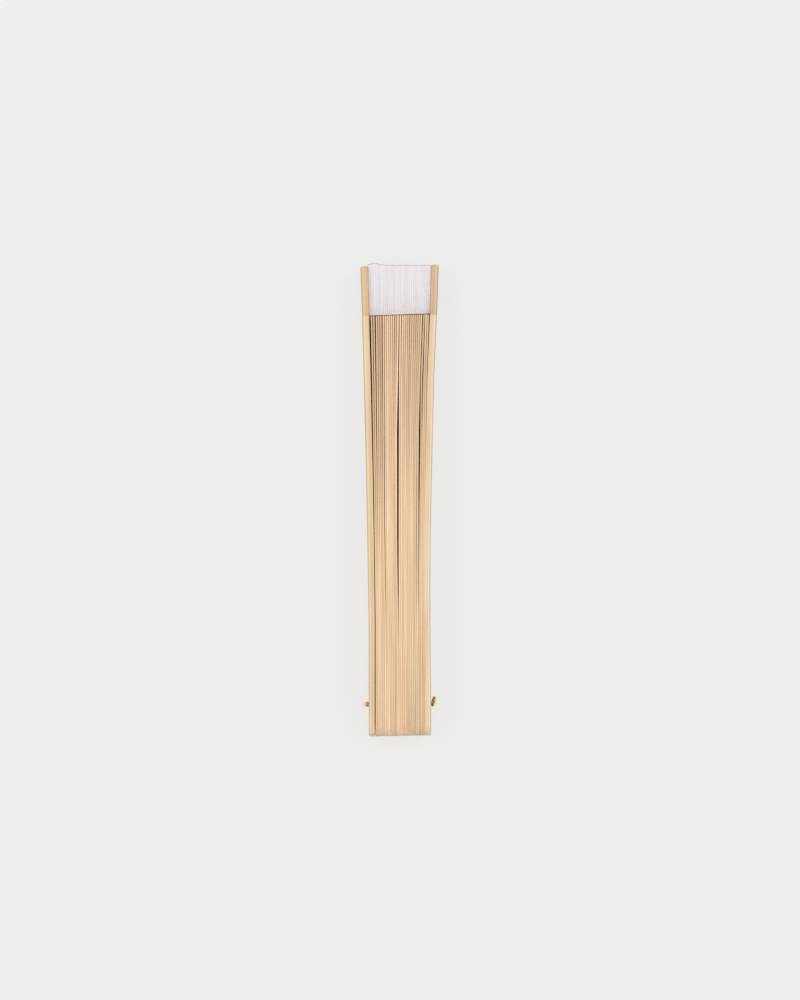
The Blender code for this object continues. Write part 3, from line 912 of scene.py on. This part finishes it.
def guard_shade(number, y, sizes):
    """How much lighter or darker a guard is along its length: near its tail, and past the shoulder
    of the right one, where painted shade darkens its neck."""
    tail = 1 - smooth_step(y, *TAIL_SHADE)
    if number == 0:
        return 0.08 * tail - 0.03
    # Painted shade on the right guard's neck past its shoulder
    past = sizes.end_shade * (y > STACK.shoulder + MILLIMETRE / 2)
    return -0.08 * tail - 0.06 * smooth_step(y, *RIGHT_DARKER) - past


def make_guard(name, sizes, material):
    """An outer stick: a thick board with a well rounded outer edge, bent with the stack."""
    side, number = (-1, 0) if name == GUARD_LEFT else (1, LAST)
    tail = STACK.tail + rank(number) * sizes.tail_slant
    shoulder = STACK.shoulder + rank(number) * GUARD_SLANT
    tip = STACK.tip - (sizes.left_tip_cut if side < 0 else sizes.right_tip_cut)
    line = stick_outline(tail, shoulder, tip, STACK.guard_tip_half, sizes.guard_tip_round, sizes)
    thick = abs(STACK.outer_face(name, 0.0) - STACK.inner_face(name, 0.0))
    edge = edge_steps(thick, sizes.guard_inner_easing, sizes.guard_easing, 4)
    outer_line = thick - sizes.guard_easing - sizes.edge_line
    edge = np.insert(edge, len(edge) // 2, [(0.0, sizes.edge_line), (0.0, outer_line)], axis=0)
    points, faces, broad = board(line, edge, sizes.hole_radius)
    y = points[:, 1]
    inner_line = points[:, 0] < sizes.edge_line / 2
    rounding = points[:, 0] > outer_line + sizes.edge_line / 2
    shade = guard_shade(number, y, sizes)
    shade += PALE_LINE * inner_line * (1 - smooth_step(y, *LINE_ENDS))
    # Painted shade on the rims of the rounded outer edge, which turn away from the light
    shade -= RIM_SHADE * rounding * smooth_step(broad, 0.0, 0.15) * (broad < RIM_ENDS)
    inner = STACK.inner_face(name, y)
    deep = abs(STACK.outer_face(name, y) - inner) / thick
    points[:, 0] = inner + side * points[:, 0] * deep
    piece = new_piece(f"{name}_board", points + PIN_PLACE, faces, material)
    # A painted highlight over the rounded outer edge
    rubbed = HIGHLIT * rounding * (1 - broad)
    dress_stick(piece, number, lambda y: STACK.inner_face(name, y), broad, shade, rubbed)
    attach(piece, name)
    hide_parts(name)


def slip_sides(number, y, sizes):
    """X of the cloth's middle on the left and on the right of a stick, at distance y."""
    off = sizes.glue + sizes.thickness / 2
    if number == 0:
        right = STACK.inner_face(GUARD_LEFT, y) + off
        return right, right
    if number == LAST:
        right = STACK.inner_face(GUARD_RIGHT, y) - off
        return right - 2 * sizes.thickness, right
    middle = STACK.middle(number, y)
    off += STACK.slip_thickness / 2
    return middle - off, middle + off


def fold_bounds(number, y, sizes):
    """X of the two ends of the fold between a stick and the next: the middles of the two slips."""
    room = sizes.fold_room / 2 + sizes.thickness / 2
    if number == 0:
        left = slip_sides(0, y, sizes)[0]
    else:
        left = STACK.middle(number, y) + room
    if number + 1 == LAST:
        right = slip_sides(LAST, y, sizes)[1] - sizes.thickness - room
    else:
        right = STACK.middle(number + 1, y) - room
    return left, right


# How many steps each part of a pleat has: the wrap, the glued panel, the fold's two halves and
# the free panel
PLEAT_STEPS = (10, 6, 14, 14, 24)

# The angle round a fold at which the free panel leaves it, and how narrow the fold's neck may be,
# as a share of half its width
FOLD_END, LEAST_NECK = -1.15, 0.05


def pleat_ways(number):
    """Where the columns of a pleat are: the whole part of each is its part of the pleat, and the
    rest is how far along that part it is. The first pleat has no wrap, and the last no fold."""
    first, last = (1 if number == 0 else 0), (1 if number == LAST else 4)
    parts = [
        part + np.arange(PLEAT_STEPS[part]) / PLEAT_STEPS[part] for part in range(first, last + 1)
    ]
    return np.concatenate([*parts, [last + 1.0]])


def pleat_section(number, way, y, sizes):
    """X and Z of one pleat's cloth, for arrays of the way across it and of the distance y.

    It is a half circle under the slip's lower edge, the panel glued up the slip's right side, half
    of a flattened round fold to its crest, the other half, and the free panel down to the next
    slip's left side. The fold is a superellipse: X moves out by the cosine and Z by the sine, each
    to the power of 2 over its squareness. Its crest is on the line that leaves the pin at half a
    panel's angle, which the leaf turns about as the fan opens.
    """
    high = y * math.tan(HALF_PANEL)
    part = np.clip(np.ceil(way).astype(int) - 1, 0, 4)
    along = way - part
    left, right = slip_sides(number, y, sizes)
    bend = (right - left) / 2
    round_x = (left + right) / 2 - bend * np.cos(math.pi * along)
    round_z = bend - high - bend * np.sin(math.pi * along)
    if number == LAST:
        panel_z = bend - high + (2 * high - bend) * along
        return np.where(part < 1, round_x, right), np.where(part < 1, round_z, panel_z)

    low_x, high_x = fold_bounds(number, y, sizes)
    crest, width = (low_x + high_x) / 2, (high_x - low_x) / 2
    power, top = 2 / sizes.fold_squareness, high - sizes.fold_height
    neck = -np.arccos(np.clip((crest - right) / width, LEAST_NECK, 1.0) ** (1 / power))

    def fold_z(angle):
        return top + sizes.fold_height * np.sign(np.sin(angle)) * abs(np.sin(angle)) ** power

    rise = neck + (math.pi / 2 - neck) * along
    fall = math.pi / 2 + (FOLD_END - math.pi / 2) * along
    glued_z = bend - high + (fold_z(neck) - bend + high) * along
    next_left, next_right = slip_sides(number + 1, y, sizes)
    side_x, side_z = crest + width * math.cos(FOLD_END) ** power, fold_z(FOLD_END)
    free_x = side_x + (next_left - side_x) * along
    free_z = side_z + ((next_right - next_left) / 2 - high - side_z) * along
    rise_x = crest - width * abs(np.cos(rise)) ** power
    fall_x = crest + width * abs(np.cos(fall)) ** power
    x = [round_x, right, rise_x, fall_x, free_x]
    z = [round_z, glued_z, fold_z(rise), fold_z(fall), free_z]
    return np.choose(part, x), np.choose(part, z)


def slab(grid, thickness):
    """A closed thin sheet from a grid of points: the grid moved half a thickness each way along
    its normal, which is the cross product of its two directions, and joined round its border."""
    across, along = np.gradient(grid, axis=1), np.gradient(grid, axis=0)
    normal = np.cross(across, along)
    normal /= np.linalg.norm(normal, axis=2, keepdims=True)
    return grid + normal * thickness / 2, grid - normal * thickness / 2


def slab_faces(rows, columns):
    """The faces of a closed thin sheet whose two sides are numbered one after the other."""
    count = rows * columns
    top = np.array(grid_faces(rows, columns))
    number = np.arange(count).reshape(rows, columns)
    border = np.concatenate(
        [number[0, :-1], number[:-1, -1], number[-1, :0:-1], number[:0:-1, 0]]
    )
    after = np.roll(border, -1)
    rim = np.stack([border, after, after + count, border + count], 1)
    return np.concatenate([top, top[:, ::-1] + count, rim]).tolist()


# Round which pleat, counted from the left guard, the leaf stands proud, and how many pleats to each
# side of it do so too
PROUD_AT, PROUD_REACH = 2.6, 2.2


def leaf_edges(sizes):
    """How far the leaf's upper edge is moved at each crest and each valley: a slow wander, and the
    first few pleats standing a little proud."""
    chance = np.random.default_rng(EDGE_SEED)
    wander = chance.normal(0, sizes.edge_wander, 2 * LAST + 2)
    at = np.arange(len(wander)) / 2
    return wander + sizes.proud * np.exp(-(((at - PROUD_AT) / PROUD_REACH) ** 2))


def leaf_piece(name, sides, material):
    """One part of the leaf, from the two sides of its sheet and their places on the flat cloth."""
    above, below, unfolded = sides
    points = np.concatenate([above.reshape(-1, 3), below.reshape(-1, 3)])
    faces = slab_faces(*above.shape[:2])
    piece = new_piece(name, points + PIN_PLACE, faces, material, smooth=50.0)
    carry(piece, "cloth", np.concatenate([unfolded.reshape(-1, 3)] * 2))
    return piece


def turning_share(number):
    """Where the smooth step from 0 to 1 reaches number / (number + 1), which is how far the stick
    before a free panel turns for each degree that the stick after it turns."""
    goal, steps = number / (number + 1), np.linspace(0, 1, 20001)
    return float(np.interp(goal, steps * steps * (3 - 2 * steps), steps))


# How much of a free panel's length would turn over as the fan opens, and how many rows of points
# the leaf has along the fan
TURNING_PART, LEAF_ROWS = 0.95, 9


def bend_leaf(piece, number, low_y):
    """Works out where a free panel would turn over as the fan opens, with the stick before it at
    its crest and the next stick at its foot, but makes nothing of it; it only bakes the panel's
    place into its mesh."""
    before = turning_share(number)
    sine, cosine = math.sin(HALF_PANEL), math.cos(HALF_PANEL)
    down = np.array((0.0, sine, -cosine))
    crest = PIN_PLACE + np.array((0.0, cosine, sine)) * low_y
    reach = TURNING_PART * low_y * math.sin(2 * HALF_PANEL) / (1 - before)
    start = crest - before * reach * down
    start + reach * down
    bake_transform(piece)


def make_leaf(sizes, sticks, material):
    """The whole leaf, from the left guard to the right one, as one unfolded sheet of cloth that is
    divided where a part of it turns with another stick."""
    moved = leaf_edges(sizes)
    low = STACK.shoulder + sizes.above_shoulder - sizes.edge_drop
    high = STACK.tip - sizes.below_tip
    up = np.linspace(0, 1, LEAF_ROWS)[:, None]
    travelled = 0.0
    for number, stick in enumerate(sticks):
        way = pleat_ways(number)[None]
        crest = None if number == LAST else int(np.argmin(abs(way - 3)))
        whole = (way - way.min()) / (way.max() - way.min())
        lift = np.interp(number + whole, np.arange(len(moved)) / 2, moved)
        lower = low + sizes.edge_slant * (number + whole) / LAST
        y = lower + up * (high + lift - lower)
        x, z = pleat_section(number, np.broadcast_to(way, y.shape), y, sizes)
        grid = np.stack([x, y, z], 2)
        steps = np.linalg.norm(np.diff(grid[LEAF_ROWS // 2][:, ::2], axis=0), axis=1)
        far = travelled + np.concatenate([[0.0], np.cumsum(steps)])
        travelled = far[-1]
        unfolded = np.stack([np.broadcast_to(far, y.shape), y, high + lift - y], 2)
        node = "leaf_end" if number == LAST else f"leaf_pleat_{number + 1:02d}"
        sides = (*slab(grid, sizes.thickness), unfolded)
        columns = slice(None) if crest is None else slice(0, crest + 1)
        glued = [side[:, columns] for side in sides]
        panel = leaf_piece(f"leaf_panel_{number:02d}", glued, material)
        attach(panel, STICKS[number])
        declare(node, high - low)
        if crest is not None:
            free = [side[:, crest:] for side in sides]
            fold = leaf_piece(f"leaf_fold_{number:02d}", free, material)
            bend_leaf(fold, number, low)
            declare(node, high - low)


def declare(node, length):
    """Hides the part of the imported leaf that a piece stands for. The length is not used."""
    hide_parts(node)


# How many steps the pin has round it, its head from top to back, its domed end, and its eye round
# the ring and round the wire
PIN_SIDES, HEAD_STEPS, DOME_STEPS, RING_STEPS, WIRE_STEPS = 40, 24, 12, 64, 20

# How thick the shank is under the head, and how much of the head's drop it has there; and from
# what angle on, in degrees, the pin's edges are sharp
NECK_THICKNESS, NECK_DROP, SHARP = 0.85, 0.4, 35


def turned(profile, sides):
    """A round solid along the pin's axis: each (X, radius, drop) of the profile is a ring whose
    points are the radius times the cosine and the sine of the angle, moved to the tail by the
    drop."""
    angles = np.linspace(0, math.tau, sides, endpoint=False)
    x, radius, drop = profile.T[:, :, None]
    rings = [x + 0 * angles, radius * np.cos(angles) - drop, radius * np.sin(angles)]
    points = np.stack(rings, 2).reshape(-1, 3)
    return points + PIN_PLACE, grid_faces(len(profile), sides, closed=True)


def eye_ring(sizes, outer):
    """The wire ring at the pin's right end: a circle of the wire's section carried round a circle
    that leans out from the guard and is turned a little."""
    lean, turn_ = sizes.eye_lean, sizes.eye_turn
    reach = math.hypot(math.sin(lean), math.sin(turn_) * math.cos(lean))
    centre_x = outer + sizes.clearance + sizes.wire_radius + sizes.eye_radius * reach
    along = np.array((math.sin(lean), math.cos(lean), 0.0))
    square = np.array((math.cos(lean), -math.sin(lean), 0.0))
    across = np.array((0.0, 0.0, math.cos(turn_))) + math.sin(turn_) * square
    outward = np.cross(along, across)
    centre = np.array((centre_x, sizes.eye_lift, 0.0)) + PIN_PLACE
    angle = np.linspace(0, math.tau, RING_STEPS, endpoint=False)[:, None, None]
    roll = np.linspace(0, math.tau, WIRE_STEPS, endpoint=False)[None, :, None]
    spoke = np.cos(angle) * along + np.sin(angle) * across
    points = centre + (sizes.eye_radius + sizes.wire_radius * np.cos(roll)) * spoke
    points = points + sizes.wire_radius * np.sin(roll) * outward
    faces = np.array(grid_faces(RING_STEPS + 1, WIRE_STEPS, closed=True))
    return points.reshape(-1, 3), (faces % (RING_STEPS * WIRE_STEPS)).tolist(), centre_x


def make_pin(sizes, material):
    """The pin: a round head with a flat back, the shank, a domed end, and the eye joined on. The
    wire is bent a little at the head, which sits nearer the tail than the holes do."""
    outer, left = (abs(STACK.outer_face(name, 0.0)) for name in (GUARD_RIGHT, GUARD_LEFT))
    ring, ring_faces, eye_x = eye_ring(sizes, outer)
    start, back = outer + sizes.clearance, -left - sizes.clearance
    centre = sizes.head_radius - sizes.head_height - start
    angles = np.linspace(0, math.acos((centre + start) / sizes.head_radius), HEAD_STEPS)
    round_ = np.stack([-np.cos(angles), np.sin(angles), 0 * angles], 1)
    head = (centre, 0.0, sizes.head_drop) + sizes.head_radius * round_
    shank = [
        (back, head[-1, 1], sizes.head_drop),
        (back, NECK_THICKNESS * sizes.radius, NECK_DROP * sizes.head_drop),
        (-left, sizes.radius, 0.0),
        (start, sizes.radius, 0.0),
    ]
    turns = np.linspace(0, math.pi / 2, DOME_STEPS)
    dome = [start + (eye_x - start) * np.sin(turns), sizes.rivet_radius * np.cos(turns), 0 * turns]
    points, faces = turned(np.concatenate([head, shank, np.stack(dome, 1)]), PIN_SIDES)
    pin = new_piece("pin", points, faces, material)
    eye = new_piece("eye", ring, ring_faces, material)
    settle(pin, eye)
    bpy.data.objects.remove(eye)
    pin.data.shade_smooth()
    pin.data.set_sharp_from_angle(angle=math.radians(SHARP))
    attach(pin, GUARD_LEFT)
    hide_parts("pivot_pin")


# The table's corners, how many spots a metre of it has, how much darker they are, and between which
# open shares of the sky over it its glow rises
TABLE = np.array([(-7.2, -4.0, 0.0), (7.2, -4.0, 0.0), (0.0, 8.8, 0.0)])
MOTTLE, MOTTLE_SHADE, GLOW_RISES = (3, 3, 3), 0.985, (0.20, 0.36)

# Each light's name, its place over the table and its share of the power, and how wide both are
LIGHTS = (("left", (-0.9, 0.25, 1.1), 1.1), ("right", (0.9, 0.35, 1.1), 0.9))
LIGHT_WIDTH = 0.9

# How wide the camera's film is, in metres here, and how many rows the picture has
FILM_WIDTH, PICTURE_ROWS = 0.036, 1000


class FAN_OT_stage(bpy.types.Operator):
    """Makes the table, the lights and the camera"""

    bl_idname = "fan.make_stage"
    bl_label = "Make Stage"

    def execute(self, context):
        stage, finishes = fan_of(context).stage, fan_of(context).finishes
        scene = context.scene
        scene.view_settings.view_transform = "Standard"
        self.make_table(stage, finishes)
        self.make_lights(scene, stage, finishes)
        self.make_camera(scene, stage)
        return {"FINISHED"}

    def make_table(self, stage, finishes):
        """A wide flat table that glows a little, so that shadows on it stay faint. The glow stops
        where something rests on the table, so that none shows between the sticks. It is a single
        triangle, so that no seam crosses the picture."""
        graph = Graph("table")
        soft = graph.noise(graph.place(), MOTTLE, detail=1)
        sockets = {"Distance": stage.glow_stop}
        open_ = graph.value("ShaderNodeAmbientOcclusion", {"samples": 12}, sockets, "AO")
        given_back = (1 - stage.table_glow) * stage.table_shade
        lit = [channel * given_back for channel in finishes.table[:3]]
        darker = [channel * MOTTLE_SHADE for channel in lit]
        glow = graph.mix((0, 0, 0, 1), finishes.table, open_.between(*GLOW_RISES))
        graph.finish(
            {
                "Base Color": graph.mix((*lit, 1.0), (*darker, 1.0), soft),
                "Roughness": 0.9 + soft * 0.05,
                "Specular IOR Level": 0.0,
                "Emission Color": glow,
                "Emission Strength": stage.table_glow,
            }
        )
        new_piece("table", TABLE, [(0, 1, 2)], graph.material)

    def make_lights(self, scene, stage, finishes):
        """An even pale sky, and two large soft lights above the fan's two sides."""
        world = bpy.data.worlds.new("sky")
        world.use_nodes = True
        back = world.node_tree.nodes["Background"]
        back.inputs["Color"].default_value = finishes.table
        back.inputs["Strength"].default_value = stage.sky
        scene.world = world
        for name, place, power in LIGHTS:
            lamp = bpy.data.lights.new(f"{name}_light", "AREA")
            lamp.shape, lamp.size, lamp.energy = "DISK", LIGHT_WIDTH, stage.side_power * power
            light = bpy.data.objects.new(f"{name}_light", lamp)
            light.location = place
            light.rotation_euler = (-light.location).to_track_quat("-Z", "Y").to_euler()
            scene.collection.objects.link(light)

    def make_camera(self, scene, stage):
        """A long lens straight above the fan, with the table's Y up the picture."""
        data = bpy.data.cameras.new("camera")
        data.sensor_fit, data.sensor_width = "AUTO", FILM_WIDTH / MILLIMETRE
        data.lens = stage.lens / MILLIMETRE
        camera = bpy.data.objects.new("camera", data)
        away = stage.frame_height * data.lens / data.sensor_width
        half_pixel = stage.frame_height / PICTURE_ROWS / 2
        camera.location = (half_pixel, half_pixel, stage.frame_level + away)
        scene.collection.objects.link(camera)
        scene.camera = camera


# What the warmest wood of the guards, and of the ribs, is tinted with
GUARD_WARM, RIB_WARM = (1.0, 0.975, 0.85, 1.0), (1.0, 0.95, 0.955, 1.0)


class FAN_OT_sticks(bpy.types.Operator):
    """Makes the two guards and the slats between them"""

    bl_idname = "fan.make_sticks"
    bl_label = "Make Sticks"

    def execute(self, context):
        fan = fan_of(context)
        sizes, finishes = fan.sticks, fan.finishes
        tints = (finishes.guard_light, finishes.guard_mid, finishes.guard_face, finishes.guard_neck_shade)
        guard_wood = wood("guard_wood", finishes, *tints, GUARD_WARM)
        tints = (finishes.wood_light, finishes.wood_mid, finishes.rib_face, WHITE)
        rib_wood = wood("rib_wood", finishes, *tints, RIB_WARM)
        for name in (GUARD_LEFT, GUARD_RIGHT):
            make_guard(name, sizes, guard_wood)
        for number in range(1, LAST):
            make_rib(number, sizes, rib_wood)
        return {"FINISHED"}


class FAN_OT_leaf(bpy.types.Operator):
    """Makes the pleated leaf"""

    bl_idname = "fan.make_leaf"
    bl_label = "Make Leaf"

    def execute(self, context):
        fan = fan_of(context)
        slats = [f"slat_{number:02d}" for number in range(1, LAST)]
        names = ["guard_left_board", *slats, "guard_right_board"]
        sticks = [bpy.data.objects[name] for name in names]
        make_leaf(fan.leaf, sticks, cloth("leaf_cloth", fan.finishes))
        return {"FINISHED"}


class FAN_OT_pin(bpy.types.Operator):
    """Makes the brass pin"""

    bl_idname = "fan.make_pin"
    bl_label = "Make Pin"

    def execute(self, context):
        fan = fan_of(context)
        make_pin(fan.pin, brass("brass", fan.finishes))
        return {"FINISHED"}


OPERATORS = (FAN_OT_stage, FAN_OT_sticks, FAN_OT_leaf, FAN_OT_pin)


class FAN_PT_panel(bpy.types.Panel):
    """The fan's settings and its makers"""

    bl_label = "Folding Fan"
    bl_idname = "FAN_PT_panel"
    bl_space_type = "VIEW_3D"
    bl_region_type = "UI"
    bl_category = "Fan"

    def draw(self, context):
        fan = fan_of(context)
        for group in (fan.sticks, fan.leaf, fan.pin, fan.finishes, fan.stage):
            box = self.layout.box()
            for name in group.__annotations__:
                box.prop(group, name)
        for operator in OPERATORS:
            self.layout.operator(operator.bl_idname)


GROUPS = (FanStickSizes, FanLeafSizes, FanPinSizes, FanFinishes, FanStage, FanSettings)
CLASSES = (*GROUPS, *OPERATORS, FAN_PT_panel)


def register():
    for cls in CLASSES:
        bpy.utils.register_class(cls)
    bpy.types.Scene.folding_fan = bpy.props.PointerProperty(
        type=FanSettings, name="Folding fan", description="The folding fan's settings"
    )


def unregister():
    del bpy.types.Scene.folding_fan
    for cls in reversed(CLASSES):
        bpy.utils.unregister_class(cls)


def main():
    """Makes every piece in turn."""
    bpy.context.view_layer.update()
    register()
    bpy.ops.fan.make_stage()
    bpy.ops.fan.make_sticks()
    bpy.ops.fan.make_leaf()
    bpy.ops.fan.make_pin()


if __name__ == "__main__":
    main()
